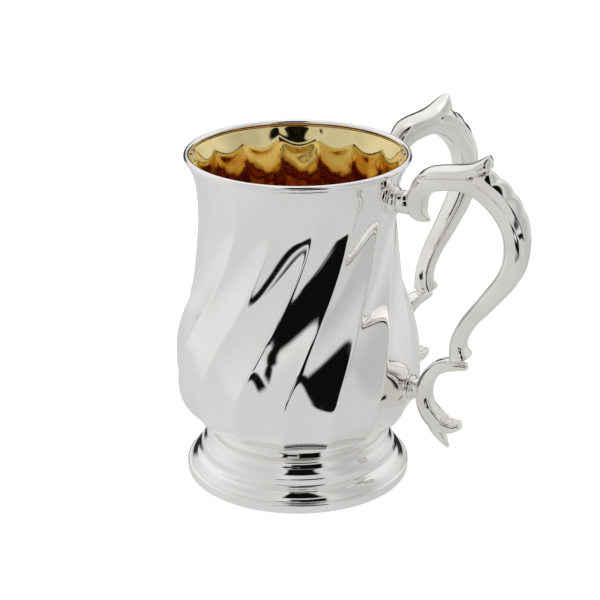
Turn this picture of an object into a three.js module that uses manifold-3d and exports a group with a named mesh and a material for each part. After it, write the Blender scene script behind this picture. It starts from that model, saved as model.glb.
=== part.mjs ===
// Silver mug on a stepped foot: a baluster body with sixteen twisted flutes, a rim wire,
// and two double-scroll handles set side by side. Millimetres, +Z up.
// +X runs between the two handles; the underside of the foot stands on Z = 0.
import * as THREE from 'three';
import { mergeVertices } from 'three/addons/utils/BufferGeometryUtils.js';
import Module from 'manifold-3d';

const wasm = await Module();
wasm.setup();

// ---- driving dimensions -------------------------------------------------------------

const GAP = 0.3; // space left at every soldered joint
const BODY_AXIS_X = -16.0; // the body's axis, so that the whole object is centred
const HANDLE_ANGLE = 32.75; // each handle's turn away from +X, degrees

// Outside of the body along the crests between the flutes: [height, radius].
const BODY_PROFILE = [
  [23.0, 36.0], [24.4, 40.0], [27.0, 43.0], [33.0, 46.5], [40.0, 47.9], [48.0, 47.8],
  [58.0, 46.6], [68.0, 44.0], [78.0, 41.0], [90.0, 39.0], [104.0, 38.0], [114.0, 38.4],
  [121.0, 39.4], [125.0, 41.0], [127.5, 42.2],
];
const WALL = 1.1;
const FLUTES = 16;
const FLUTE_DEPTH = 1.2;
const FLUTE_TOP = 124.0; // the flutes fade out at this height
const FLUTE_FADE = 18.0; // height over which they reach full depth
const FLUTE_PHASE = 8.75; // angle of one crest at the bottom, degrees
const FLUTE_TWIST = 40.5; // turn of each crest from bottom to top, degrees
const TWIST_START = 34.0;
const TWIST_RISE = 88.5;
const CREST_ROUNDING = 0.04; // rounding of a crest, as a share of one flute
const FLUTE_STEPS = [0, 0.11, 0.33, 0.67, 0.89]; // samples across one flute
const BODY_ROWS = 18;

const RIM_WIRE_RADIUS = 1.1;
const RIM_WIRE_CENTRE = [41.7, 128.9];
const RIM_SECTION_SIDES = 10;

const RING_SEGMENTS = 44;
const BAND = { inner: 39.6, outer: 43.7, top: 3.5, edge: 0.8 };
const COLLAR = { inner: 29.5, outer: 33.3, waist: 32.6, bottom: 18.0, top: 22.7 };

// Closed section of the spun foot, [radius, height]: outside going up, then inside coming down.
const FOOT_SECTION = [
  [41.0, 3.8], [42.5, 3.8], [42.5, 4.7], [41.8, 6.2], [40.4, 7.6], [38.4, 8.5], [38.1, 9.0],
  [38.2, 11.6], [37.9, 12.2], [37.2, 13.6], [36.2, 14.7], [35.9, 15.0], [35.6, 16.4], [34.9, 17.7],
  [29.5, 17.7], [29.5, 16.5], [33.8, 16.4], [34.7, 14.6], [36.7, 11.6], [36.7, 8.4], [40.2, 5.6],
];

// Centre lines in a handle's own plane: [distance from the body's axis, height, half thickness].
const SCROLL_LINE = [
  [53.6, 110.9, 0.7], [52.1, 111.4, 1.5], [50.3, 112.7, 2.7], [48.9, 115.0, 3.5], [48.7, 117.8, 3.7],
  [49.8, 121.3, 3.7], [52.4, 124.4, 3.6], [56.5, 126.4, 3.6], [61.4, 127.4, 3.6],
  [66.2, 127.8, 3.6], [72.1, 126.3, 3.6], [78.2, 122.7, 3.7], [83.9, 116.7, 3.8],
  [86.8, 110.8, 3.9], [87.6, 104.2, 3.9], [87.0, 98.2, 4.0], [84.4, 92.0, 3.9],
  [80.2, 86.0, 3.6], [76.2, 80.7, 3.3], [71.1, 74.2, 3.0], [67.8, 68.0, 2.9],
  [66.8, 63.8, 3.0], [67.1, 61.0, 3.3], [67.8, 58.8, 3.9],
];
const LOWER_SCROLL_LINE = [
  [70.1, 55.2, 1.3], [66.5, 55.2, 2.0], [62.1, 54.6, 2.5], [58.1, 52.3, 2.7],
  [55.1, 48.2, 2.8], [53.8, 43.6, 2.9], [53.7, 39.8, 3.0], [54.8, 36.2, 3.1],
  [57.4, 32.8, 3.4], [60.9, 30.6, 3.3], [64.5, 30.0, 2.8], [68.1, 30.9, 1.9],
];
const SPUR_LINE = [
  [57.1, 32.0, 2.4], [59.1, 28.0, 2.3], [61.5, 24.2, 1.6], [63.8, 20.9, 0.6],
];
const SCROLL_WIDTH = 1.25; // width of the scroll over its thickness
const SCROLL_SQUARENESS = 2.6; // exponent of its superellipse section
const SECTION_SIDES = 12;
const SCROLL_STATIONS = 40;
const LOWER_SCROLL_STATIONS = 20;
const SPUR_STATIONS = 6;

// Top of the leaf along the back of a scroll: [distance, height, half width, thickness].
const LEAF_LINE = [
  [45.4, 121.4, 0.9, 2.0], [47.0, 125.4, 2.4, 2.8], [49.6, 128.8, 3.9, 3.6],
  [53.0, 131.2, 4.9, 4.4], [57.3, 132.5, 5.3, 4.6], [61.6, 133.2, 5.4, 4.6],
  [65.5, 133.8, 5.3, 4.2], [69.0, 134.8, 5.0, 3.2], [72.3, 136.5, 4.4, 2.6],
  [74.6, 138.0, 3.3, 2.2], [76.0, 138.8, 1.6, 1.5],
];
const LEAF_STATIONS = 16;
const LEAF_EDGE_RISE = 0.3; // rise of its long edges above the middle

// Ridge that runs on behind the leaf: height above the scroll at even steps down the bend.
const RIDGE_SPAN = [0.305, 0.64]; // where it starts and ends along the scroll's centre line
const RIDGE_HEIGHTS = [
  3.2, 4.0, 4.8, 3.9, 4.5, 3.4, 3.7, 2.8, 2.7, 2.1, 1.7, 1.4, 1.0, 0.7, 0.3,
];
const RIDGE_HALF_WIDTHS = [
  3.6, 4.1, 4.5, 4.1, 4.5, 4.1, 4.3, 4.0, 4.0, 3.7, 3.5, 3.1, 2.7, 2.2, 1.4,
];
const RIDGE_SINK = 3.0; // depth of its blank below the scroll's surface before it is fitted
const RIDGE_CROWN = 0.65; // share of the height that falls away towards the long edges

const UPPER_SOCKET = { height: 116.4, from: 34.0, to: 46.6, radius: 4.6, flange: 5.6, flangeEnd: 41.0 };
const LOWER_SOCKET = { height: 42.6, from: 43.0, to: 51.8, radius: 3.9, flange: 5.0, flangeEnd: 47.6 };
const LOWER_RING = { from: 48.0, to: 49.4, radius: 4.8 };
const SOCKET_SEGMENTS = 24;

const SILVER = { color: 0xd9d9d6, metalness: 1.0, roughness: 0.08 };

// ---- small helpers ------------------------------------------------------------------

const radians = THREE.MathUtils.degToRad;

function smoothRise(value) {
  const t = THREE.MathUtils.clamp(value, 0, 1);
  return t * t * (3 - 2 * t);
}

// A smooth curve through [x, y] or [x, y, size] points, sampled at even steps of length.
function sampleLine(points, stations) {
  const curve = new THREE.CatmullRomCurve3(
    points.map((point) => new THREE.Vector3(point[0], point[1], 0)),
    false,
    'centripetal',
  );
  const extras = points[0].length - 2;
  const rows = [];
  for (let i = 0; i < stations; i += 1) {
    const along = i / (stations - 1);
    const place = curve.getPointAt(along);
    const tangent = curve.getTangentAt(along);
    const span = curve.getUtoTmapping(along) * (points.length - 1);
    const low = Math.min(Math.floor(span), points.length - 2);
    const sizes = [];
    for (let k = 0; k < extras; k += 1) {
      sizes.push(THREE.MathUtils.lerp(points[low][2 + k], points[low + 1][2 + k], span - low));
    }
    rows.push({ place, tangent, outward: new THREE.Vector3(-tangent.y, tangent.x, 0), sizes });
  }
  return rows;
}

// A closed body through rings of points with equal counts, with a fan over each end.
function loft(rings) {
  const count = rings[0].length;
  const positions = [];
  const triangles = [];
  rings.forEach((ring) => ring.forEach((point) => positions.push(point.x, point.y, point.z)));
  for (let row = 0; row < rings.length - 1; row += 1) {
    for (let k = 0; k < count; k += 1) {
      const next = (k + 1) % count;
      const here = row * count;
      const above = here + count;
      triangles.push(here + k, here + next, above + next);
      triangles.push(here + k, above + next, above + k);
    }
  }
  [0, rings.length - 1].forEach((row) => {
    const centre = new THREE.Vector3();
    rings[row].forEach((point) => centre.addScaledVector(point, 1 / count));
    const middle = positions.length / 3;
    positions.push(centre.x, centre.y, centre.z);
    for (let k = 0; k < count; k += 1) {
      const here = row * count + k;
      const next = row * count + ((k + 1) % count);
      if (row === 0) {
        triangles.push(middle, next, here);
      } else {
        triangles.push(middle, here, next);
      }
    }
  });
  const geometry = new THREE.BufferGeometry();
  geometry.setAttribute('position', new THREE.Float32BufferAttribute(positions, 3));
  geometry.setIndex(triangles);
  return geometry;
}

// A ring turned from a closed [radius, height] section given anticlockwise.
function turnedRing(section, segments) {
  const closed = [...section, section[0]].map((point) => new THREE.Vector2(point[0], point[1]));
  const lathe = new THREE.LatheGeometry(closed, segments);
  lathe.rotateX(Math.PI / 2);
  return lathe;
}

// A closed mesh as a manifold solid.
function toSolid(geometry) {
  const bare = new THREE.BufferGeometry();
  bare.setAttribute('position', geometry.getAttribute('position').clone());
  if (geometry.index) {
    bare.setIndex(geometry.index.clone());
  }
  const merged = mergeVertices(bare, 1e-4);
  return new wasm.Manifold(new wasm.Mesh({
    numProp: 3,
    vertProperties: new Float32Array(merged.getAttribute('position').array),
    triVerts: new Uint32Array(merged.index.array),
  }));
}

function fromSolid(solid) {
  const mesh = solid.getMesh();
  const geometry = new THREE.BufferGeometry();
  geometry.setAttribute('position', new THREE.BufferAttribute(mesh.vertProperties, 3));
  geometry.setIndex(new THREE.BufferAttribute(mesh.triVerts, 1));
  return geometry;
}

// ---- body ---------------------------------------------------------------------------

function fluteDepth(height) {
  return FLUTE_DEPTH * smoothRise((FLUTE_TOP - height) / FLUTE_FADE);
}

// Share of the full depth across one flute: nought on the crest and one in the middle.
function fluteShape(across) {
  const nearest = Math.min(across, 1 - across);
  const soft = Math.hypot(nearest, CREST_ROUNDING) - CREST_ROUNDING;
  const widest = Math.hypot(0.5, CREST_ROUNDING) - CREST_ROUNDING;
  const share = soft / widest;
  return share * (2 - share);
}

function crestAngle(height) {
  return radians(FLUTE_PHASE + FLUTE_TWIST * smoothRise((height - TWIST_START) / TWIST_RISE));
}

function fluteRing(radius, height, depth, phase) {
  const ring = [];
  for (let flute = 0; flute < FLUTES; flute += 1) {
    FLUTE_STEPS.forEach((across) => {
      const angle = phase + ((flute + across) / FLUTES) * 2 * Math.PI;
      const reach = radius - depth * fluteShape(across);
      ring.push(new THREE.Vector3(reach * Math.cos(angle), reach * Math.sin(angle), height));
    });
  }
  return ring;
}

// Rows of the outside, moved outwards by `offset` (a negative offset gives the inside).
function bodyRings(offset) {
  const line = BODY_PROFILE.map(([height, radius]) => [radius, height]);
  const rows = sampleLine(line, BODY_ROWS);
  const top = BODY_PROFILE[BODY_PROFILE.length - 1][0];
  return rows.map(({ place, outward }, index) => {
    const level = index === BODY_ROWS - 1;
    const radius = place.x - (level ? -offset : outward.x * offset);
    const height = level ? top : Math.min(place.y - outward.y * offset, top - GAP);
    return fluteRing(radius, height, fluteDepth(place.y), crestAngle(place.y));
  });
}

function bodyShell() {
  return loft([...bodyRings(0), ...bodyRings(-WALL).reverse()]);
}

// The body as a full solid grown by the joint gap, for fitting the sockets to it.
function bodyClearance() {
  return toSolid(loft(bodyRings(GAP)));
}

// ---- handles ------------------------------------------------------------------------

// A point in a handle's plane moved `across` it; the plane is X and Z of the handle.
function handlePoint(place, outward, away, across) {
  return new THREE.Vector3(
    place.x + outward.x * away,
    across,
    place.y + outward.y * away,
  );
}

function scrollRing(row, grow) {
  const half = row.sizes[0] + grow;
  const ring = [];
  for (let k = 0; k < SECTION_SIDES; k += 1) {
    const angle = (k / SECTION_SIDES) * 2 * Math.PI;
    const power = 2 / SCROLL_SQUARENESS;
    const up = Math.sign(Math.sin(angle)) * Math.abs(Math.sin(angle)) ** power;
    const side = Math.sign(Math.cos(angle)) * Math.abs(Math.cos(angle)) ** power;
    const width = row.sizes[0] * SCROLL_WIDTH + grow;
    ring.push(handlePoint(row.place, row.outward, half * up, width * side));
  }
  return ring;
}

function scroll(line, stations, grow) {
  return loft(sampleLine(line, stations).map((row) => scrollRing(row, grow)));
}

function lowerScroll(grow) {
  const arc = toSolid(scroll(LOWER_SCROLL_LINE, LOWER_SCROLL_STATIONS, grow));
  return arc.add(toSolid(scroll(SPUR_LINE, SPUR_STATIONS, grow)));
}

// A blank with a crowned or dished top and a flat underside, later fitted to the scroll.
function crownedRing(place, outward, halfWidth, crown, edge, base) {
  const across = [1, 0.6, 0, -0.6, -1];
  const ring = across.map((share) => {
    const away = THREE.MathUtils.lerp(crown, edge, share * share);
    return handlePoint(place, outward, away, share * halfWidth);
  });
  ring.push(handlePoint(place, outward, base, -halfWidth * 0.85));
  ring.push(handlePoint(place, outward, base, halfWidth * 0.85));
  return ring;
}

function thumbLeaf(scrollClearance) {
  const rings = sampleLine(LEAF_LINE, LEAF_STATIONS).map((row) => {
    const [halfWidth, thickness] = row.sizes;
    return crownedRing(row.place, row.outward, halfWidth, -LEAF_EDGE_RISE, 0, -thickness);
  });
  return toSolid(loft(rings)).subtract(scrollClearance);
}

function knuckledRidge(scrollClearance, leafClearance) {
  const steps = RIDGE_HEIGHTS.length;
  const rows = sampleLine(SCROLL_LINE, 201);
  const rings = RIDGE_HEIGHTS.map((height, index) => {
    const along = THREE.MathUtils.lerp(RIDGE_SPAN[0], RIDGE_SPAN[1], index / (steps - 1));
    const row = rows[Math.round(along * 200)];
    const surface = row.sizes[0] + GAP;
    const edge = surface + height * (1 - RIDGE_CROWN) - GAP;
    const base = surface - RIDGE_SINK;
    return crownedRing(row.place, row.outward, RIDGE_HALF_WIDTHS[index], surface + height, edge, base);
  });
  return toSolid(loft(rings)).subtract(scrollClearance).subtract(leafClearance);
}

// A turned peg along the handle's own +X at a given height.
function peg(outline, height) {
  const lathe = new THREE.LatheGeometry(
    outline.map((point) => new THREE.Vector2(point[0], point[1])),
    SOCKET_SEGMENTS,
  );
  lathe.rotateZ(-Math.PI / 2);
  lathe.translate(0, 0, height);
  return toSolid(lathe);
}

function socket(size) {
  return peg([
    [0, size.from], [size.flange, size.from], [size.flange, size.flangeEnd - 0.6],
    [size.radius, size.flangeEnd], [size.radius, size.to], [0, size.to],
  ], size.height);
}

// ---- assembly -----------------------------------------------------------------------

const tankard = new THREE.Group();
const bodyAxis = new THREE.Group();
bodyAxis.position.x = BODY_AXIS_X;
tankard.add(bodyAxis);

function addPiece(parent, name, geometry) {
  const mesh = new THREE.Mesh(geometry, new THREE.MeshStandardMaterial(SILVER));
  mesh.name = name;
  parent.add(mesh);
}

const rimSection = [];
for (let k = 0; k < RIM_SECTION_SIDES; k += 1) {
  const angle = (k / RIM_SECTION_SIDES) * 2 * Math.PI;
  rimSection.push([
    RIM_WIRE_CENTRE[0] + RIM_WIRE_RADIUS * Math.cos(angle),
    RIM_WIRE_CENTRE[1] + RIM_WIRE_RADIUS * Math.sin(angle),
  ]);
}
const bandSection = [
  [BAND.inner, 0], [BAND.outer - BAND.edge / 2, 0], [BAND.outer, BAND.edge / 2],
  [BAND.outer, BAND.top - BAND.edge], [BAND.outer - BAND.edge, BAND.top], [BAND.inner, BAND.top],
];
const collarSection = [
  [COLLAR.inner, COLLAR.bottom], [COLLAR.outer, COLLAR.bottom],
  [COLLAR.waist, (COLLAR.bottom + COLLAR.top) / 2], [COLLAR.outer, COLLAR.top],
  [COLLAR.inner, COLLAR.top],
];

addPiece(bodyAxis, 'foot_rim_band', turnedRing(bandSection, RING_SEGMENTS));
addPiece(bodyAxis, 'foot', turnedRing(FOOT_SECTION, RING_SEGMENTS));
addPiece(bodyAxis, 'foot_collar', turnedRing(collarSection, RING_SEGMENTS));
addPiece(bodyAxis, 'body_shell', bodyShell());
addPiece(bodyAxis, 'rim_wire', turnedRing(rimSection, RING_SEGMENTS));

const scrollClearance = toSolid(scroll(SCROLL_LINE, SCROLL_STATIONS, GAP));
const leaf = thumbLeaf(scrollClearance);
const leafClearance = toSolid(loft(sampleLine(LEAF_LINE, LEAF_STATIONS).map((row) => {
  const [halfWidth, thickness] = row.sizes;
  return crownedRing(row.place, row.outward, halfWidth + GAP, GAP, 0, -thickness - GAP);
})));
const ridge = knuckledRidge(scrollClearance, leafClearance);
const lowerScrollClearance = lowerScroll(GAP);
const lowerRing = peg([
  [0, LOWER_RING.from], [LOWER_RING.radius, LOWER_RING.from],
  [LOWER_RING.radius, LOWER_RING.to], [0, LOWER_RING.to],
], LOWER_SOCKET.height);

[['a', -HANDLE_ANGLE], ['b', HANDLE_ANGLE]].forEach(([letter, turn]) => {
  const handle = new THREE.Group();
  handle.rotation.z = radians(turn);
  bodyAxis.add(handle);
  const body = bodyClearance().rotate([0, 0, -turn]);
  const upperSocket = socket(UPPER_SOCKET).subtract(body).subtract(scrollClearance);
  const lowerPeg = socket(LOWER_SOCKET).add(lowerRing);
  const lowerSocket = lowerPeg.subtract(body).subtract(lowerScrollClearance);
  addPiece(handle, `handle_${letter}_upper_socket`, fromSolid(upperSocket));
  addPiece(handle, `handle_${letter}_lower_socket`, fromSolid(lowerSocket));
  addPiece(handle, `handle_${letter}_scroll`, scroll(SCROLL_LINE, SCROLL_STATIONS, 0));
  addPiece(handle, `handle_${letter}_thumb_leaf`, fromSolid(leaf));
  addPiece(handle, `handle_${letter}_knuckled_ridge`, fromSolid(ridge));
  addPiece(handle, `handle_${letter}_lower_scroll`, fromSolid(lowerScroll(0)));
});

export default tankard;
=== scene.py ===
import math

import bmesh
import bpy
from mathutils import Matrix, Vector


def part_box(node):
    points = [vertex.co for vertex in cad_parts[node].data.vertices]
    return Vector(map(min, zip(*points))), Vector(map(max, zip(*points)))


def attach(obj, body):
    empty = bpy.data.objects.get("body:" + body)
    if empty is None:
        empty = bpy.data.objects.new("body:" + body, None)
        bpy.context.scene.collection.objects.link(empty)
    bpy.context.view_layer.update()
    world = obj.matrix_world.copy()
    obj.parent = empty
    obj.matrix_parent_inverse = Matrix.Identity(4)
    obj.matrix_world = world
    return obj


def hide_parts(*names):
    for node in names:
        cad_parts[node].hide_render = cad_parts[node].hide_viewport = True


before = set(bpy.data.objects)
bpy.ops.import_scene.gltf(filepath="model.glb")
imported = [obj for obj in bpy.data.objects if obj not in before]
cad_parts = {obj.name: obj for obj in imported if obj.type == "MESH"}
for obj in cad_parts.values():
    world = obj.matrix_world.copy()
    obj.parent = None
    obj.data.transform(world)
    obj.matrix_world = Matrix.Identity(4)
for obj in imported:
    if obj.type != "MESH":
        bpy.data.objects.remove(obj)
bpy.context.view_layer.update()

# Everything below is in millimetres until a vertex is written, then metres.
MM = 0.001


def box_centre(node):
    low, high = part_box(node)
    return (Vector(low) + Vector(high)) / 2


AXIS = box_centre("rim_wire")  # the body's axis, in metres
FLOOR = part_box("foot_rim_band")[0][2]

# ---- dimensions ---------------------------------------------------------------------

# Outline of the body's crests: distance from the axis, height.
BODY_PROFILE = [
    (36.0, 23.0), (40.0, 24.4), (43.0, 27.0), (46.5, 33.0), (47.9, 40.0), (47.8, 48.0),
    (46.6, 58.0), (44.0, 68.0), (41.0, 78.0), (39.0, 90.0), (38.0, 104.0), (38.4, 114.0),
    (39.4, 121.0), (41.0, 125.0), (42.2, 127.5),
]
FLUTES = 16
FLUTE_DEPTH = 1.2
FLUTE_TOP = 124.0
FLUTE_FADE = 18.0  # height over which the flutes die away under their top
FLUTE_PHASE = 8.75  # degrees, of the first crest at the foot
FLUTE_TWIST = 40.5  # degrees
TWIST_START = 34.0
TWIST_RISE = 88.5
CREST_ROUNDING = 0.04  # as a share of a flute's width
SILVER_SKIN = 0.62  # part of the 1.1 mm wall that is shown as silver
GILT_FROM = 0.66  # the gilt lining takes the rest
WALL = 1.1
BODY_INSET = 0.15  # keeps the finer crests inside the CAD's box
FLOOR_LIFT = 0.2  # keeps the layers of the closed bottom apart, as a share of their inset
FOLD = 0.5  # how far the lining is drawn in just under the lip
FOLD_HEIGHT = 124.8  # on a crest
FOLD_DROP = 4.0  # how much lower it is between two crests
FOLD_SPREAD = 2.7

RIM_WIRE_RADIUS = 1.2
RIM_WIRE_CENTRE = (41.75, 128.7)  # distance from the axis, height
RIM_WIRE_SIDES = 28

# Turned sections: distance from the axis, height.
BAND_SECTION = [(39.6, 0.0), (43.7, 0.0), (43.7, 3.9), (39.6, 3.9)]
COLLAR_SECTION = [(29.5, 17.4), (33.3, 17.6), (32.6, 20.35), (33.3, 22.9), (29.5, 23.2)]
FOOT_SECTION = [
    (41.0, 3.8), (42.5, 3.8), (42.5, 4.7), (41.8, 6.2), (40.4, 7.6), (38.4, 8.5), (38.1, 9.0),
    (38.2, 11.6), (37.9, 12.2), (37.2, 13.6), (36.2, 14.7), (35.9, 15.0), (35.6, 16.4),
    (34.9, 17.7), (29.5, 17.7), (29.5, 16.5), (33.8, 16.4), (34.7, 14.6), (36.7, 11.6),
    (36.7, 8.4), (40.2, 5.6),
]
BAND_ROUNDING = 0.7
COLLAR_ROUNDING = 0.8
FOOT_ROUNDING = 0.9
CORNER_SHARE = 0.45  # the most of a side that a rounded corner takes

# Centre lines in a handle's plane: distance from the axis, height, half thickness.
SCROLL_LINE = [
    (53.6, 110.9, 0.7), (52.1, 111.4, 1.5), (50.3, 112.7, 2.7), (48.9, 115.0, 3.5),
    (48.7, 117.8, 3.7), (49.8, 121.3, 3.7), (52.4, 124.4, 3.6), (56.5, 126.4, 3.6),
    (61.4, 127.4, 3.6), (66.2, 127.8, 3.6), (72.1, 126.3, 3.6), (78.2, 122.7, 3.7),
    (83.9, 116.7, 3.8), (86.8, 110.8, 3.9), (87.6, 104.2, 3.9), (87.0, 98.2, 4.0),
    (84.4, 92.0, 3.9), (80.2, 86.0, 3.6), (76.2, 80.7, 3.3), (71.1, 74.2, 3.0),
    (67.8, 68.0, 2.9), (66.8, 63.8, 3.0), (67.1, 61.0, 3.3), (67.8, 58.8, 3.9),
]
LOWER_SCROLL_LINE = [
    (70.1, 55.2, 1.3), (66.5, 55.2, 2.0), (62.1, 54.6, 2.5), (58.1, 52.3, 2.7),
    (55.1, 48.2, 2.8), (53.8, 43.6, 2.9), (53.7, 39.8, 3.0), (54.8, 36.2, 3.1),
    (57.4, 32.8, 3.4), (60.9, 30.6, 3.3), (64.5, 30.0, 2.8), (68.1, 30.9, 1.9),
]
SPUR_LINE = [(57.1, 32.0, 2.4), (59.1, 28.0, 2.3), (61.5, 24.2, 1.6), (63.8, 20.9, 0.6)]
SCROLL_WIDTH = 1.25  # width over thickness
OUTER_SQUARE = 3.2  # how squarely the section turns on the outside of the bend
INNER_SQUARE = 3.6
SCROLL_ENDS = (0.4, 1.0)  # lengths of the rounded ends
LOWER_SCROLL_ENDS = (0.6, 0.6)
SPUR_ENDS = (0.2, 0.3)
END_TIP = 0.25  # width of a rounded end's last ring, as a share of the full width
END_RINGS = 6
SCOOP_START = 0.72  # where the lower scroll starts to open into its cup, as a share of its length
SCOOP_REACH = 0.2
SCOOP_DEPTH = 0.85

# Top of the leaf: distance, height, half width, thickness.
LEAF_LINE = [
    (45.4, 121.4, 0.9, 2.0), (47.0, 125.4, 2.4, 2.4), (49.6, 128.8, 3.9, 2.8),
    (53.0, 131.2, 4.9, 3.0), (57.3, 132.5, 5.3, 3.0), (61.6, 133.2, 5.4, 3.0),
    (65.5, 133.8, 5.3, 3.4), (69.0, 134.8, 5.0, 4.2), (72.3, 136.5, 4.4, 4.8),
    (74.6, 138.0, 3.3, 4.6), (76.0, 138.8, 1.6, 2.8),
]
LEAF_CROWN = 1.6  # how much its back falls from the middle to the edges
LEAF_CROWN_WIDTH = 5.0  # half width at which it has its full crown
LEAF_ROLL = 1.2  # radius of its rolled edges
LEAF_ROLL_DROP = 0.95  # share of that radius by which the edges drop
LEAF_INSET = 0.05  # keeps its tip inside the CAD's box
LEAF_UNDERSIDE = (-0.82, -0.7, -0.45, -0.15, 0.15, 0.45, 0.7, 0.82)  # shares of its half width
LEAF_SADDLE = 2.4  # how far its underside drops over the scroll
SADDLE_END = 66.0  # distance from the axis where that drop starts to fade
SADDLE_FADE = 5.0

# The ridge's span is a share of the scroll's length, and its sizes are at even steps along it.
RIDGE_SPAN = (0.305, 0.64)
RIDGE_HEIGHTS = [3.2, 4.2, 4.3, 4.2, 4.0, 3.7, 3.3, 2.9, 2.5, 2.1, 1.7, 1.4, 1.0, 0.7, 0.3]
RIDGE_HALF_WIDTHS = [3.6, 4.2, 4.3, 4.3, 4.3, 4.2, 4.1, 4.0, 3.9, 3.7, 3.5, 3.1, 2.7, 2.2, 1.4]
RIDGE_SHOULDER = 0.35  # share of the height taken by its upright sides
RIDGE_CORNER = 0.5  # rounding where the sides meet its roof
RIDGE_FULL = 2.5  # height from which it stands on upright sides
RIDGE_LIP = 0.3  # height of its edge where it has no upright sides
RIDGE_SPLAY = 0.35  # how far its foot stands out, as a share of its height
RIDGE_FOOT = 0.985  # its foot's furthest place, as a share of the scroll's half width
RIDGE_ROOF_POWER = 1.6
RIDGE_SINK = 0.25  # how far its foot is sunk in the scroll
RIDGE_UNDERSIDE = (0.85, 0.5, 0.17, -0.17, -0.5, -0.85)  # shares of its foot's half width
RIDGE_DEPTH = 0.8  # depth of that hidden underside in the scroll
KNUCKLES = (0.8, 10.2)  # first and last step that carries a knuckle
KNUCKLE_STEP = 2.15  # steps from one knuckle to the next
KNUCKLE_HEIGHT = 0.8
KNUCKLE_FADE_START = 5.0  # step from which the knuckles get lower

UPPER_SOCKET_HEIGHT = 116.4
LOWER_SOCKET_HEIGHT = 42.6
HANDLES = {"a": -32.75, "b": 32.75}  # degrees round the body

PEG_SINK = 0.3  # how far a peg goes into the body
# Outlines of the pegs: distance from the body's axis, radius.
UPPER_PEG = [
    (38.0, 0.0), (38.0, 5.3), (39.8, 5.4), (40.6, 5.3), (41.2, 4.9), (41.5, 4.3), (41.9, 4.2),
    (43.0, 4.3), (46.6, 4.6), (46.6, 0.0),
]
LOWER_PEG = [
    (46.0, 0.0), (46.0, 5.0), (47.1, 5.0), (47.6, 4.7), (47.8, 4.0), (48.0, 4.0), (48.2, 4.6),
    (48.6, 4.85), (49.1, 4.8), (49.4, 4.5), (49.6, 3.8), (51.8, 3.8), (51.8, 0.0),
]

# How finely the pieces are sampled.
SPLINE_STEPS = 60
BODY_ROWS = 150
BODY_LINE_POINTS = 300
FLUTE_STEPS = 24
TURN_SEGMENTS = 256
CORNER_STEPS = 6
SCROLL_STATIONS = 260
LOWER_SCROLL_STATIONS = 140
SPUR_STATIONS = 40
SECTION_SIDES = 40
LEAF_STATIONS = 90
LEAF_COLUMNS = 32
RIDGE_SAMPLES = 1200  # along the whole scroll, of which every second one is used
RIDGE_COLUMNS = 15
PEG_SEGMENTS = 96
WELD = 1e-8  # metres


# ---- curves and meshes --------------------------------------------------------------


def smooth_rise(value):
    t = min(max(value, 0.0), 1.0)
    return t * t * (3 - 2 * t)


def spline_point(points, knots, span, t):
    """Centripetal Catmull-Rom on every component of the points."""
    last = len(points) - 1
    p1, p2 = points[span], points[span + 1]
    p0 = points[span - 1] if span > 0 else [2 * a - b for a, b in zip(p1, p2)]
    p3 = points[span + 2] if span + 2 <= last else [2 * b - a for a, b in zip(p1, p2)]
    d1 = knots[span]
    d0 = knots[span - 1] if span > 0 else d1
    d2 = knots[span + 1] if span + 1 < last else d1
    out = []
    for a, b, c, d in zip(p0, p1, p2, p3):
        m1 = ((b - a) / d0 - (c - a) / (d0 + d1) + (c - b) / d1) * d1
        m2 = ((c - b) / d1 - (d - b) / (d1 + d2) + (d - c) / d2) * d1
        cubic = 2 * b - 2 * c + m1 + m2
        square = -3 * b + 3 * c - 2 * m1 - m2
        out.append(b + m1 * t + square * t * t + cubic * t * t * t)
    return out


def sample_line(points, stations):
    """Evenly spaced (point, tangent, outward, sizes) along a smooth line."""
    knots = [
        math.hypot(b[0] - a[0], b[1] - a[1]) ** 0.5
        for a, b in zip(points, points[1:])
    ]
    fine = []
    for span in range(len(points) - 1):
        for k in range(SPLINE_STEPS):
            fine.append(spline_point(points, knots, span, k / SPLINE_STEPS))
    fine.append(list(points[-1]))
    reach = [0.0]
    for a, b in zip(fine, fine[1:]):
        reach.append(reach[-1] + math.hypot(b[0] - a[0], b[1] - a[1]))
    rows = []
    cursor = 0
    for i in range(stations):
        goal = reach[-1] * i / (stations - 1)
        while cursor < len(reach) - 2 and reach[cursor + 1] < goal:
            cursor += 1
        length = reach[cursor + 1] - reach[cursor]
        mix = (goal - reach[cursor]) / length
        a, b = fine[cursor], fine[cursor + 1]
        point = [p + (q - p) * mix for p, q in zip(a, b)]
        before = fine[max(cursor - 2, 0)]
        after = fine[min(cursor + 3, len(fine) - 1)]
        tangent = Vector((after[0] - before[0], after[1] - before[1])).normalized()
        outward = Vector((-tangent.y, tangent.x))
        rows.append((Vector(point[:2]), tangent, outward, point[2:]))
    return rows


def make_object(name, vertices, faces, material, slot, nodes):
    """A smooth closed mesh in metres that stands for the named CAD nodes."""
    mesh = bpy.data.meshes.new(name)
    mesh.from_pydata(vertices, [], faces)
    work = bmesh.new()
    work.from_mesh(mesh)
    bmesh.ops.remove_doubles(work, verts=work.verts, dist=WELD)
    bmesh.ops.recalc_face_normals(work, faces=work.faces)
    if work.calc_volume(signed=True) < 0:
        bmesh.ops.reverse_faces(work, faces=work.faces)
    work.to_mesh(mesh)
    work.free()
    mesh.polygons.foreach_set("use_smooth", [True] * len(mesh.polygons))
    piece = bpy.data.objects.new(name, mesh)
    bpy.context.scene.collection.objects.link(piece)
    mesh.materials.append(material)
    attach(piece, "root")
    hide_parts(*nodes)


def loft_faces(rows, columns):
    """Faces between each two neighbouring rings."""
    faces = []
    for row in range(rows - 1):
        for k in range(columns):
            here = row * columns + k
            right = row * columns + (k + 1) % columns
            faces.append((here, right, right + columns, here + columns))
    return faces


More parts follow.
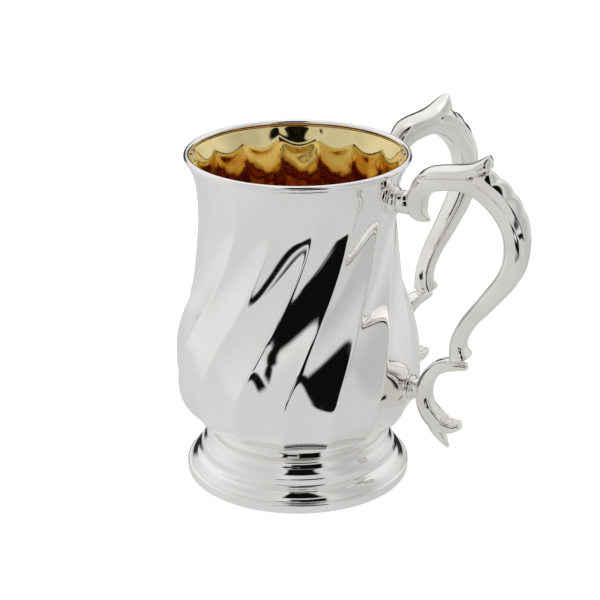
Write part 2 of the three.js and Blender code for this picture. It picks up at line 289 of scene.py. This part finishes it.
def loft(rings):
    """Vertices and faces of a closed loft with a fan over each end."""
    columns = len(rings[0])
    vertices = [point for ring in rings for point in ring]
    faces = loft_faces(len(rings), columns)
    for row in (0, len(rings) - 1):
        middle = len(vertices)
        vertices.append(sum((Vector(p) for p in rings[row]), Vector()) / columns)
        for k in range(columns):
            here = row * columns + k
            right = row * columns + (k + 1) % columns
            faces.append((middle, right, here) if row == 0 else (middle, here, right))
    return vertices, faces


def joined(*parts):
    """Several shapes as one."""
    vertices, faces = [], []
    for part_vertices, part_faces in parts:
        start = len(vertices)
        vertices.extend(part_vertices)
        faces.extend(tuple(start + index for index in face) for face in part_faces)
    return vertices, faces


def bend(start, corner, end, steps):
    """Points of a curve from start to end that is drawn towards the corner."""
    out = []
    for k in range(steps + 1):
        t = k / steps
        out.append(start * (1 - t) ** 2 + corner * 2 * t * (1 - t) + end * t * t)
    return out


def rounded(section, radius):
    """A closed section with each corner rounded by at most the radius."""
    out = []
    count = len(section)
    for i in range(count):
        before = Vector(section[i - 1])
        corner = Vector(section[i])
        after = Vector(section[(i + 1) % count])
        back = min(radius, (before - corner).length * CORNER_SHARE)
        ahead = min(radius, (after - corner).length * CORNER_SHARE)
        start = corner + (before - corner).normalized() * back
        end = corner + (after - corner).normalized() * ahead
        out += bend(start, corner, end, CORNER_STEPS)
    return out


def turned(section):
    """A ring turned about the body's axis from a closed section."""
    vertices = []
    columns = len(section)
    for i in range(TURN_SEGMENTS):
        angle = 2 * math.pi * i / TURN_SEGMENTS
        for radius, height in section:
            vertices.append((
                AXIS.x + radius * math.cos(angle) * MM,
                AXIS.y + radius * math.sin(angle) * MM,
                FLOOR + height * MM,
            ))
    faces = []
    for i in range(TURN_SEGMENTS):
        above = (i + 1) % TURN_SEGMENTS
        for k in range(columns):
            right = (k + 1) % columns
            faces.append((i * columns + k, above * columns + k,
                          above * columns + right, i * columns + right))
    return vertices, faces


# ---- materials ----------------------------------------------------------------------


class Nodes:
    """Short hand for building a node tree."""

    def __init__(self, name):
        self.material = bpy.data.materials.new(name)
        self.material.use_nodes = True
        self.tree = self.material.node_tree
        self.shader = self.tree.nodes["Principled BSDF"]
        self.place = self.add("ShaderNodeTexCoord").outputs["Object"]

    def add(self, kind, **settings):
        node = self.tree.nodes.new(kind)
        for key, value in settings.items():
            setattr(node, key, value)
        return node

    def link(self, source, target):
        self.tree.links.new(source, target)

    def noise(self, scale, detail, stretch=None):
        node = self.add("ShaderNodeTexNoise")
        node.inputs["Scale"].default_value = scale
        node.inputs["Detail"].default_value = detail
        node.inputs["Roughness"].default_value = 0.5
        if stretch:
            mapping = self.add("ShaderNodeMapping")
            mapping.inputs["Scale"].default_value = stretch
            self.link(self.place, mapping.inputs["Vector"])
            self.link(mapping.outputs["Vector"], node.inputs["Vector"])
        else:
            self.link(self.place, node.inputs["Vector"])
        return node.outputs["Fac"]

    def remap(self, source, low, high, to_low, to_high):
        node = self.add("ShaderNodeMapRange")
        node.inputs["From Min"].default_value = low
        node.inputs["From Max"].default_value = high
        node.inputs["To Min"].default_value = to_low
        node.inputs["To Max"].default_value = to_high
        self.link(source, node.inputs["Value"])
        return node.outputs["Result"]

    def mix(self, factor, first, second):
        node = self.add("ShaderNodeMix", data_type="RGBA")
        self.link(factor, node.inputs["Factor"])
        for socket, value in ((node.inputs["A"], first), (node.inputs["B"], second)):
            if isinstance(value, tuple):
                socket.default_value = (*value, 1.0)
            else:
                self.link(value, socket)
        return node.outputs["Result"]

    def bump(self, height, distance, under=None):
        node = self.add("ShaderNodeBump")
        node.inputs["Strength"].default_value = 1.0
        node.inputs["Distance"].default_value = distance
        self.link(height, node.inputs["Height"])
        if under:
            self.link(under, node.inputs["Normal"])
        return node.outputs["Normal"]


# Scales of the noises, and the parts of their range that are used.
CLOUD_SCALE = 55.0
CLOUD_RANGE = (0.42, 0.72)
HAIR_SCALE = 900.0
HAIR_STRETCH = (1.0, 0.35, 0.09)
HAIR_BUMP = 2.0e-7  # metres
SMEAR_SCALE = 140.0
MARKS_RANGE = (0.16, 0.42)
HAND_SCALE = 70.0
CREASE_RANGE = (0.49, 0.44)
DEEP_SHADE_RANGE = (0.119, 0.104)  # metres above the floor: where the painted shade in the gilt starts and is darkest


def polished_metal(name, bright, dull, crease, smooth, rough, wave, tarnish, deep_shade=None):
    """A worn polished metal: cloudy polish, hairline scratches and toning in the creases.

    With a colour for painted shade, it darkens towards that colour below the lip: painted shade low in
    the cup.
    """
    n = Nodes(name)
    cloud = n.noise(CLOUD_SCALE, 4.0)
    tone = n.mix(n.remap(cloud, *CLOUD_RANGE, 0.0, 1.0), bright, dull)
    hollow = n.add("ShaderNodeNewGeometry").outputs["Pointiness"]
    tarnish_and_shade = n.mix(n.remap(hollow, *CREASE_RANGE, 0.0, tarnish), tone, crease)
    # Painted shade: the gilt's colour darkens lower in the cup.
    if deep_shade:
        level = n.add("ShaderNodeSeparateXYZ")
        n.link(n.place, level.inputs["Vector"])
        tarnish_and_shade = n.mix(n.remap(level.outputs["Z"], *DEEP_SHADE_RANGE, 0.0, 1.0), tarnish_and_shade, deep_shade)
    n.link(tarnish_and_shade, n.shader.inputs["Base Color"])
    n.shader.inputs["Metallic"].default_value = 1.0
    hair = n.noise(HAIR_SCALE, 3.0, HAIR_STRETCH)
    smear = n.noise(SMEAR_SCALE, 3.0)
    marks = n.add("ShaderNodeMath", operation="MULTIPLY")
    n.link(hair, marks.inputs[0])
    n.link(smear, marks.inputs[1])
    roughness = n.remap(marks.outputs[0], *MARKS_RANGE, smooth, rough)
    n.link(roughness, n.shader.inputs["Roughness"])
    hand = n.bump(n.noise(HAND_SCALE, 1.0), wave)
    fine = n.bump(hair, HAIR_BUMP, under=hand)
    n.link(fine, n.shader.inputs["Normal"])
    return n.material


SILVER = polished_metal(
    "polished_silver",
    bright=(0.955, 0.95, 0.93), dull=(0.925, 0.915, 0.885), crease=(0.42, 0.37, 0.28),
    smooth=0.02, rough=0.06, wave=1.0e-5, tarnish=0.35,
)
CAST = polished_metal(
    "cast_silver",
    bright=(0.935, 0.925, 0.89), dull=(0.84, 0.82, 0.765), crease=(0.28, 0.24, 0.17),
    smooth=0.03, rough=0.09, wave=1.6e-5, tarnish=0.75,
)
# The gilt's last colour is painted shade, darker low in the cup.
GILT = polished_metal(
    "gilt_lining",
    bright=(0.92, 0.78, 0.41), dull=(0.87, 0.71, 0.33), crease=(0.50, 0.28, 0.07),
    smooth=0.06, rough=0.14, wave=0.9e-5, tarnish=0.3, deep_shade=(0.74, 0.46, 0.14),
)

# ---- body ---------------------------------------------------------------------------


def flute_depth(height):
    return FLUTE_DEPTH * smooth_rise((FLUTE_TOP - height) / FLUTE_FADE)


def flute_shape(across):
    nearest = min(across, 1 - across)
    soft = math.hypot(nearest, CREST_ROUNDING) - CREST_ROUNDING
    share = soft / (math.hypot(0.5, CREST_ROUNDING) - CREST_ROUNDING)
    return share * (2 - share)


def crest_angle(height):
    return math.radians(FLUTE_PHASE + FLUTE_TWIST * smooth_rise((height - TWIST_START) / TWIST_RISE))


# Samples across one flute, closer together near the crests.
ACROSS = [0.5 - 0.5 * math.cos(math.pi * k / FLUTE_STEPS) for k in range(FLUTE_STEPS)]


def body_ring(radius, height, depth, phase, fold=0.0):
    ring = []
    for flute in range(FLUTES):
        for across in ACROSS:
            angle = phase + (flute + across) / FLUTES * 2 * math.pi
            shape = flute_shape(across)
            rise = (height - FOLD_HEIGHT + FOLD_DROP * shape) / FOLD_SPREAD
            reach = (radius - depth * shape - fold * math.exp(-rise * rise)) * MM
            ring.append(Vector((
                AXIS.x + reach * math.cos(angle), AXIS.y + reach * math.sin(angle), FLOOR + height * MM,
            )))
    return ring


def body_rings(inset, fold=0.0):
    """Rings of the body's surface moved inwards by the inset, from its foot to its lip."""
    rings = []
    foot, lip = BODY_PROFILE[0][1], BODY_PROFILE[-1][1]
    for point, _, outward, _ in sample_line(BODY_PROFILE, BODY_ROWS):
        radius = point.x + outward.x * inset
        height = point.y + outward.y * inset
        depth = flute_depth(point.y)
        if height < foot:
            height = foot + inset * FLOOR_LIFT
        rings.append(body_ring(radius, min(height, lip), depth, crest_angle(point.y), fold))
    return rings


BODY_LINE = [(point.x, point.y) for point, _, _, _ in sample_line(BODY_PROFILE, BODY_LINE_POINTS)]
outer = body_rings(BODY_INSET)
under = body_rings(SILVER_SKIN)
make_object("silver_body", *loft(outer + under[::-1]), SILVER, "silver", ["body_shell"])
lining_outer = body_rings(GILT_FROM)
lining_inner = body_rings(WALL, FOLD)
make_object("gilt_lining", *loft(lining_outer + lining_inner[::-1]), GILT, "gilt", ["body_shell"])

wire = [
    (RIM_WIRE_CENTRE[0] + RIM_WIRE_RADIUS * math.cos(2 * math.pi * k / RIM_WIRE_SIDES),
     RIM_WIRE_CENTRE[1] + RIM_WIRE_RADIUS * math.sin(2 * math.pi * k / RIM_WIRE_SIDES))
    for k in range(RIM_WIRE_SIDES)
]
band_section = rounded(BAND_SECTION, BAND_ROUNDING)
foot_section = rounded(FOOT_SECTION, FOOT_ROUNDING)
collar_section = rounded(COLLAR_SECTION, COLLAR_ROUNDING)
make_object("rim", *turned(wire), SILVER, "silver", ["rim_wire"])
make_object("foot_band", *turned(band_section), SILVER, "silver", ["foot_rim_band"])
make_object("spun_foot", *turned(foot_section), SILVER, "silver", ["foot"])
make_object("collar", *turned(collar_section), SILVER, "silver", ["foot_collar"])

# ---- handles ------------------------------------------------------------------------


def placed(turn, along, across, height):
    """A point of a handle's plane, moved across it, in metres."""
    c, s = math.cos(turn), math.sin(turn)
    return Vector((
        AXIS.x + (along * c - across * s) * MM,
        AXIS.y + (along * s + across * c) * MM,
        FLOOR + height * MM,
    ))


def section_ring(turn, row, shrink=1.0, shift=0.0, cup=0.0):
    """A softly squared section, hollowed on its outer side where it has a cup."""
    point, tangent, outward, sizes = row
    half = sizes[0] * shrink
    width = sizes[0] * SCROLL_WIDTH * shrink
    ring = []
    for k in range(SECTION_SIDES):
        angle = 2 * math.pi * k / SECTION_SIDES
        c, s = math.cos(angle), math.sin(angle)
        power = 2 / (OUTER_SQUARE if s > 0 else INNER_SQUARE)
        up = math.copysign(abs(s) ** power, s)
        side = math.copysign(abs(c) ** power, c)
        away = half * up
        if cup and s > 0:
            away -= cup * half * (1 - side * side) * abs(s)
        place = point + outward * away + tangent * shift
        ring.append(placed(turn, place.x, width * side, place.y))
    return ring


def no_cup(along):
    return 0.0


def rod(turn, line, stations, ends, cup=no_cup):
    """A scroll along a line, with rounded ends of the given lengths."""
    rows = sample_line(line, stations)
    start_round, end_round = ends
    last = len(rows) - 1
    turns = [math.pi / 2 * k / END_RINGS for k in range(END_RINGS)]
    rings = []
    for t in turns:
        shrink = END_TIP + (1 - END_TIP) * math.sin(t)
        rings.append(section_ring(turn, rows[0], shrink, -start_round * math.cos(t), cup(0.0)))
    for i, row in enumerate(rows):
        rings.append(section_ring(turn, row, cup=cup(i / last)))
    for t in reversed(turns):
        shrink = END_TIP + (1 - END_TIP) * math.sin(t)
        rings.append(section_ring(turn, rows[last], shrink, end_round * math.cos(t), cup(1.0)))
    return loft(rings)


def crowned(turn, point, outward, half_width, heights, base, drop):
    """A ring with a shaped top over an underside that drops towards its edges."""
    ring = []
    count = len(heights)
    for k, away in enumerate(heights):
        across = half_width * (1 - 2 * k / (count - 1))
        place = point + outward * away
        ring.append(placed(turn, place.x, across, place.y))
    for share in LEAF_UNDERSIDE:
        place = point + outward * (base - drop * share * share)
        ring.append(placed(turn, place.x, share * half_width, place.y))
    return ring


def leaf(turn):
    """The band along the back of the scroll: gently crowned, with rolled edges and a raised tip."""
    rings = []
    for point, _, outward, (half_width, thickness) in sample_line(LEAF_LINE, LEAF_STATIONS):
        heights = []
        roll = min(LEAF_ROLL, half_width * 0.5)
        crown = LEAF_CROWN * smooth_rise(half_width / LEAF_CROWN_WIDTH)
        for k in range(LEAF_COLUMNS + 1):
            side = 1 - 2 * k / LEAF_COLUMNS
            edge = max(0.0, (abs(side) * half_width - half_width + roll) / roll)
            rolled = LEAF_ROLL_DROP * roll * (1 - math.sqrt(1 - min(edge * edge, 1.0)))
            heights.append(-LEAF_INSET - crown * side * side - rolled)
        drop = LEAF_SADDLE * (1 - smooth_rise((point.x - SADDLE_END) / SADDLE_FADE))
        rings.append(crowned(turn, point, outward, half_width, heights, -thickness, drop))
    return loft(rings)


def spline_value(values, along):
    span = min(int(along * (len(values) - 1)), len(values) - 2)
    t = along * (len(values) - 1) - span
    points = [(value,) for value in values]
    return spline_point(points, [1.0] * (len(values) - 1), span, t)[0]


def scroll_height(half, across):
    """Height of a scroll's surface over its centre line, at a distance across it."""
    share = min(abs(across) / (half * SCROLL_WIDTH), 1.0)
    return half * (1 - share ** OUTER_SQUARE) ** (1 / OUTER_SQUARE)


def knuckle(step):
    """The knuckles' rise and fall along the ridge, with a sharp notch between each two."""
    first, last = KNUCKLES
    if not first < step < last:
        return 0.0
    fade = 1 - smooth_rise((step - KNUCKLE_FADE_START) / (last - KNUCKLE_FADE_START))
    wave = abs(math.sin(math.pi * step / KNUCKLE_STEP))
    return KNUCKLE_HEIGHT * fade * (wave - 0.5)


def ridge_half(half, height, half_width, bulge):
    """Half a section of the ridge, from its crown out over the corner and down its side."""
    foot = min(RIDGE_FOOT * half * SCROLL_WIDTH, half_width + RIDGE_SPLAY * height)
    low = scroll_height(half, half_width) + RIDGE_LIP
    edge = low + (half + RIDGE_SHOULDER * height - low) * smooth_rise(height / RIDGE_FULL)
    top = half + height
    points = []
    for k in range(RIDGE_COLUMNS):
        share = k / RIDGE_COLUMNS
        roof = edge + (top - edge) * (1 - share ** RIDGE_ROOF_POWER) + bulge * (1 - share * share)
        points.append(Vector((half_width * share, roof)))
    corner = Vector((half_width, edge))
    base = Vector((foot, scroll_height(half, foot) - RIDGE_SINK))
    reach = min(RIDGE_CORNER, 0.4 * (base - corner).length)
    inwards = points[-1] - corner
    start = corner + inwards.normalized() * min(reach, 0.8 * inwards.length)
    end = corner + (base - corner).normalized() * reach
    points += bend(start, corner, end, CORNER_STEPS - 1)
    points.append(end.lerp(base, 0.5))
    points.append(base)
    return points


def ridge(turn):
    """A knuckled skin laid over the back of the scroll."""
    rows = sample_line(SCROLL_LINE, RIDGE_SAMPLES + 1)
    first, last = (round(share * RIDGE_SAMPLES) for share in RIDGE_SPAN)
    rings = []
    for index in range(first, last + 1, 2):
        share = (index - first) / (last - first)
        point, _, outward, sizes = rows[index]
        height = spline_value(RIDGE_HEIGHTS, share)
        half_width = spline_value(RIDGE_HALF_WIDTHS, share)
        bulge = knuckle(share * (len(RIDGE_HEIGHTS) - 1))
        half = ridge_half(sizes[0], height, half_width, bulge)
        section = [Vector((-p.x, p.y)) for p in half[:0:-1]] + half
        foot = half[-1].x
        for foot_share in RIDGE_UNDERSIDE:
            across = foot_share * foot
            section.append(Vector((across, scroll_height(sizes[0], across) - RIDGE_DEPTH)))
        ring = []
        for across, away in section:
            place = point + outward * away
            ring.append(placed(turn, place.x, across, place.y))
        rings.append(ring)
    return loft(rings)


def body_radius(angle, height):
    """Outer radius of the body at an angle and height."""
    for (low_r, low_z), (high_r, high_z) in zip(BODY_LINE, BODY_LINE[1:]):
        if low_z <= height <= high_z:
            crest = low_r + (high_r - low_r) * (height - low_z) / (high_z - low_z)
            across = (angle - crest_angle(height)) / (2 * math.pi) * FLUTES % 1
            return crest - flute_depth(height) * flute_shape(across)
    raise ValueError("no body at that height")


def peg(turn, outline, height):
    """A turned peg away from the body, its first two points fitted to the body's surface."""
    vertices = []
    columns = len(outline)
    for i in range(PEG_SEGMENTS):
        angle = 2 * math.pi * i / PEG_SEGMENTS
        for k, (along, radius) in enumerate(outline):
            across, level = radius * math.cos(angle), height + radius * math.sin(angle)
            if k < 2:
                surface = body_radius(turn + math.atan2(across, along), level) - PEG_SINK
                along = math.sqrt(surface * surface - across * across)
            vertices.append(placed(turn, along, across, level))
    faces = []
    for i in range(PEG_SEGMENTS):
        here, above = i * columns, (i + 1) % PEG_SEGMENTS * columns
        for k in range(columns - 1):
            faces.append((here + k, here + k + 1, above + k + 1, above + k))
    return vertices, faces


def scoop(along):
    """How hollow the lower scroll is: it opens into a cup towards its tail."""
    return SCOOP_DEPTH * smooth_rise((along - SCOOP_START) / SCOOP_REACH)


for letter, degrees in HANDLES.items():
    turn = math.radians(degrees)
    name = "handle_" + letter
    lower = joined(
        rod(turn, LOWER_SCROLL_LINE, LOWER_SCROLL_STATIONS, LOWER_SCROLL_ENDS, scoop),
        rod(turn, SPUR_LINE, SPUR_STATIONS, SPUR_ENDS),
    )
    castings = [
        ("_scroll_cast", rod(turn, SCROLL_LINE, SCROLL_STATIONS, SCROLL_ENDS), "_scroll"),
        ("_leaf_cast", leaf(turn), "_thumb_leaf"),
        ("_ridge_cast", ridge(turn), "_knuckled_ridge"),
        ("_lower_cast", lower, "_lower_scroll"),
        ("_upper_peg", peg(turn, UPPER_PEG, UPPER_SOCKET_HEIGHT), "_upper_socket"),
        ("_lower_peg", peg(turn, LOWER_PEG, LOWER_SOCKET_HEIGHT), "_lower_socket"),
    ]
    for piece_name, shape, node in castings:
        make_object(name + piece_name, *shape, CAST, "silver_cast", [name + node])

# ---- studio -------------------------------------------------------------------------


CAMERA_AZIMUTH = -96.55  # degrees round the body's axis


def window(value, low, high, soft_low, soft_high):
    """One between the limits, falling smoothly to nought across the two soft margins."""
    rise = smooth_rise((value - low) / soft_low + 0.5)
    return rise * (1 - smooth_rise((value - high) / soft_high + 0.5))


def lobe(value, centre, width):
    return math.exp(-(((value - centre) / width) ** 2))


def lobes(value, table):
    return sum(level * lobe(value, centre, width) for centre, width, level in table)


# Brightness of the tent's walls, roof and table. Lobes are (azimuth, width, brightness), and
# azimuths are measured from the camera. BACK_LOBES are measured from the point opposite it.
WALL_LEVEL = 0.63
WALL_LOBES = [(-100, 45, 0.16), (68, 32, -0.13), (112, 28, 0.12), (38, 9, 0.08), (-14, 10, 0.1)]
ROOF_LOBES = [(-75, 30, -0.1)]
BACK_LOBES = [(0, 55, 0.30)]
TABLE_LEVEL = 0.645
TABLE_LOBES = [(-100, 40, 0.05), (100, 50, -0.05)]
TOP_LEVEL = 0.2
# Where one gives way to the next: elevation and spread.
TABLE_TO_WALL = (-19, 8)
WALL_TO_ROOF = (8, 26)
ROOF_TO_TOP = (62, 18)

# The dark room behind the camera, seen through an opening round a light patch, with a bar
# across it. Each part is a window in azimuth and a window in elevation.
OPENING = [
    ((-8, 29, 6, 4), (-2, 20, 3, 5)),
    ((-16, 0, 4, 4), (-3, 4, 2, 3)),
    ((1, 29, 4, 4), (-16, 1, 2, 3)),
    ((-26, 31, 4, 4), (-18, -12.5, 1.5, 1.5)),
    ((-17, 27, 6, 8), (29, 76, 4, 5)),
]
# One more part at its left leans: its azimuths move with the elevation.
LEANING_PART = ((-19.5, -12.5, 3, 3), (-10, 0, 4, 3))
LEAN = 0.8
LEAN_FROM = -3
OPENING_DARKNESS = 0.996
# The dark gap under the tent's back wall: half width and spread in azimuth, window in elevation.
GAP_HALF_WIDTH = 32
GAP_SPREAD = 10
GAP_HEIGHTS = (-8, 16, 5, 6)
GAP_DARKNESS = 0.96
DARKEST = 0.004


def studio_light(azimuth, elevation):
    """Brightness of the light tent in a direction, in degrees."""
    behind = (azimuth % 360) - 180
    wall = WALL_LEVEL + lobes(azimuth, WALL_LOBES)
    roof = wall + lobes(behind, BACK_LOBES) + lobes(azimuth, ROOF_LOBES)
    table = TABLE_LEVEL + lobes(azimuth, TABLE_LOBES)
    light = table
    for (start, spread), change in (
        (TABLE_TO_WALL, wall - table), (WALL_TO_ROOF, roof - wall), (ROOF_TO_TOP, TOP_LEVEL),
    ):
        light += change * smooth_rise((elevation - start) / spread)
    parts = [window(azimuth, *wide) * window(elevation, *high) for wide, high in OPENING]
    wide, high = LEANING_PART
    leaning = azimuth - LEAN * (elevation - LEAN_FROM)
    parts.append(window(leaning, *wide) * window(elevation, *high))
    light *= 1 - max(parts) * OPENING_DARKNESS
    gap = 1 - smooth_rise((abs(behind) - GAP_HALF_WIDTH) / GAP_SPREAD)
    light *= 1 - GAP_DARKNESS * gap * window(elevation, *GAP_HEIGHTS)
    return max(light, DARKEST)


TENT_RADIUS = 4.0  # metres
TENT_HEIGHT = 0.06  # of its centre over the floor
TENT_COLUMNS = 480
TENT_ROWS = 240
FLOOR_REACH = 6  # metres
FLOOR_COLOUR = (0.5, 0.5, 0.5, 1.0)
FLOOR_GLOW = 0.78
WHITE = (1.0, 1.0, 1.0, 1.0)
BLACK = (0.0, 0.0, 0.0, 1.0)


def glowing(name, colour):
    """A matt material that glows white, and its shader."""
    material = bpy.data.materials.new(name)
    material.use_nodes = True
    shader = material.node_tree.nodes["Principled BSDF"]
    shader.inputs["Base Color"].default_value = colour
    shader.inputs["Specular IOR Level"].default_value = 0.0
    shader.inputs["Emission Color"].default_value = WHITE
    material.cycles.emission_sampling = "NONE"
    return material, shader


def stage_object(name, mesh, material):
    mesh.materials.append(material)
    thing = bpy.data.objects.new(name, mesh)
    bpy.context.scene.collection.objects.link(thing)
    return thing


def light_tent():
    """A closed tent of light round the object that only reflections see."""
    vertices, levels = [], []
    for i in range(TENT_ROWS + 1):
        elevation = -90 + 180 * i / TENT_ROWS
        e = math.radians(elevation)
        for k in range(TENT_COLUMNS):
            azimuth = -180 + 360 * k / TENT_COLUMNS
            a = math.radians(azimuth + CAMERA_AZIMUTH)
            vertices.append((
                AXIS.x + TENT_RADIUS * math.cos(e) * math.cos(a),
                AXIS.y + TENT_RADIUS * math.cos(e) * math.sin(a),
                TENT_HEIGHT + TENT_RADIUS * math.sin(e),
            ))
            levels.append(studio_light(azimuth, elevation))
    mesh = bpy.data.meshes.new("light_tent")
    mesh.from_pydata(vertices, [], loft_faces(TENT_ROWS + 1, TENT_COLUMNS))
    layer = mesh.color_attributes.new("light", "FLOAT_COLOR", "POINT")
    for k, level in enumerate(levels):
        layer.data[k].color = (level, level, level, 1.0)
    material, shader = glowing("tent_light", BLACK)
    source = material.node_tree.nodes.new("ShaderNodeAttribute")
    source.attribute_name = "light"
    material.node_tree.links.new(source.outputs["Fac"], shader.inputs["Emission Strength"])
    tent = stage_object("light_tent", mesh, material)
    tent.visible_camera = False


def pale_floor():
    """A plain pale floor, bright enough to read as white, that reflections don't see."""
    r = FLOOR_REACH
    mesh = bpy.data.meshes.new("floor")
    mesh.from_pydata([(-r, -r, FLOOR), (r, -r, FLOOR), (r, r, FLOOR), (-r, r, FLOOR)], [], [(0, 1, 2, 3)])
    material, shader = glowing("pale_floor", FLOOR_COLOUR)
    shader.inputs["Roughness"].default_value = 1.0
    shader.inputs["Emission Strength"].default_value = FLOOR_GLOW
    floor = stage_object("floor", mesh, material)
    floor.visible_glossy = False


light_tent()
pale_floor()

scene = bpy.context.scene
world = bpy.data.worlds.new("studio")
world.use_nodes = True
world.node_tree.nodes["Background"].inputs["Color"].default_value = WHITE
world.node_tree.nodes["Background"].inputs["Strength"].default_value = 1.0
scene.world = world
scene.view_settings.view_transform = "Standard"
# Enough reflections in a row to light the gilding deep in the cup.
scene.cycles.max_bounces = 16
scene.cycles.glossy_bounces = 16

# ---- camera -------------------------------------------------------------------------

CAMERA_DISTANCE = 0.674  # level distance from the body's axis, metres
CAMERA_HEIGHT = 0.3397
CAMERA_PITCH = 21.82  # degrees downwards
CAMERA_YAW = 83.38  # degrees, of the way it looks
CAMERA_LENS = 112.8
CAMERA_SENSOR = 36.0
CAMERA_REACH = 50.0  # metres

camera_data = bpy.data.cameras.new("camera")
camera_data.lens = CAMERA_LENS
camera_data.sensor_width = CAMERA_SENSOR
camera_data.clip_end = CAMERA_REACH
camera = bpy.data.objects.new("camera", camera_data)
scene.collection.objects.link(camera)
bearing = math.radians(CAMERA_AZIMUTH)
camera.location = (
    AXIS.x + CAMERA_DISTANCE * math.cos(bearing),
    AXIS.y + CAMERA_DISTANCE * math.sin(bearing),
    FLOOR + CAMERA_HEIGHT,
)
pitch, yaw = math.radians(CAMERA_PITCH), math.radians(CAMERA_YAW)
ahead = math.cos(pitch)
aim = Vector((math.cos(yaw) * ahead, math.sin(yaw) * ahead, -math.sin(pitch)))
camera.rotation_mode = "QUATERNION"
camera.rotation_quaternion = aim.to_track_quat("-Z", "Y")
scene.camera = camera
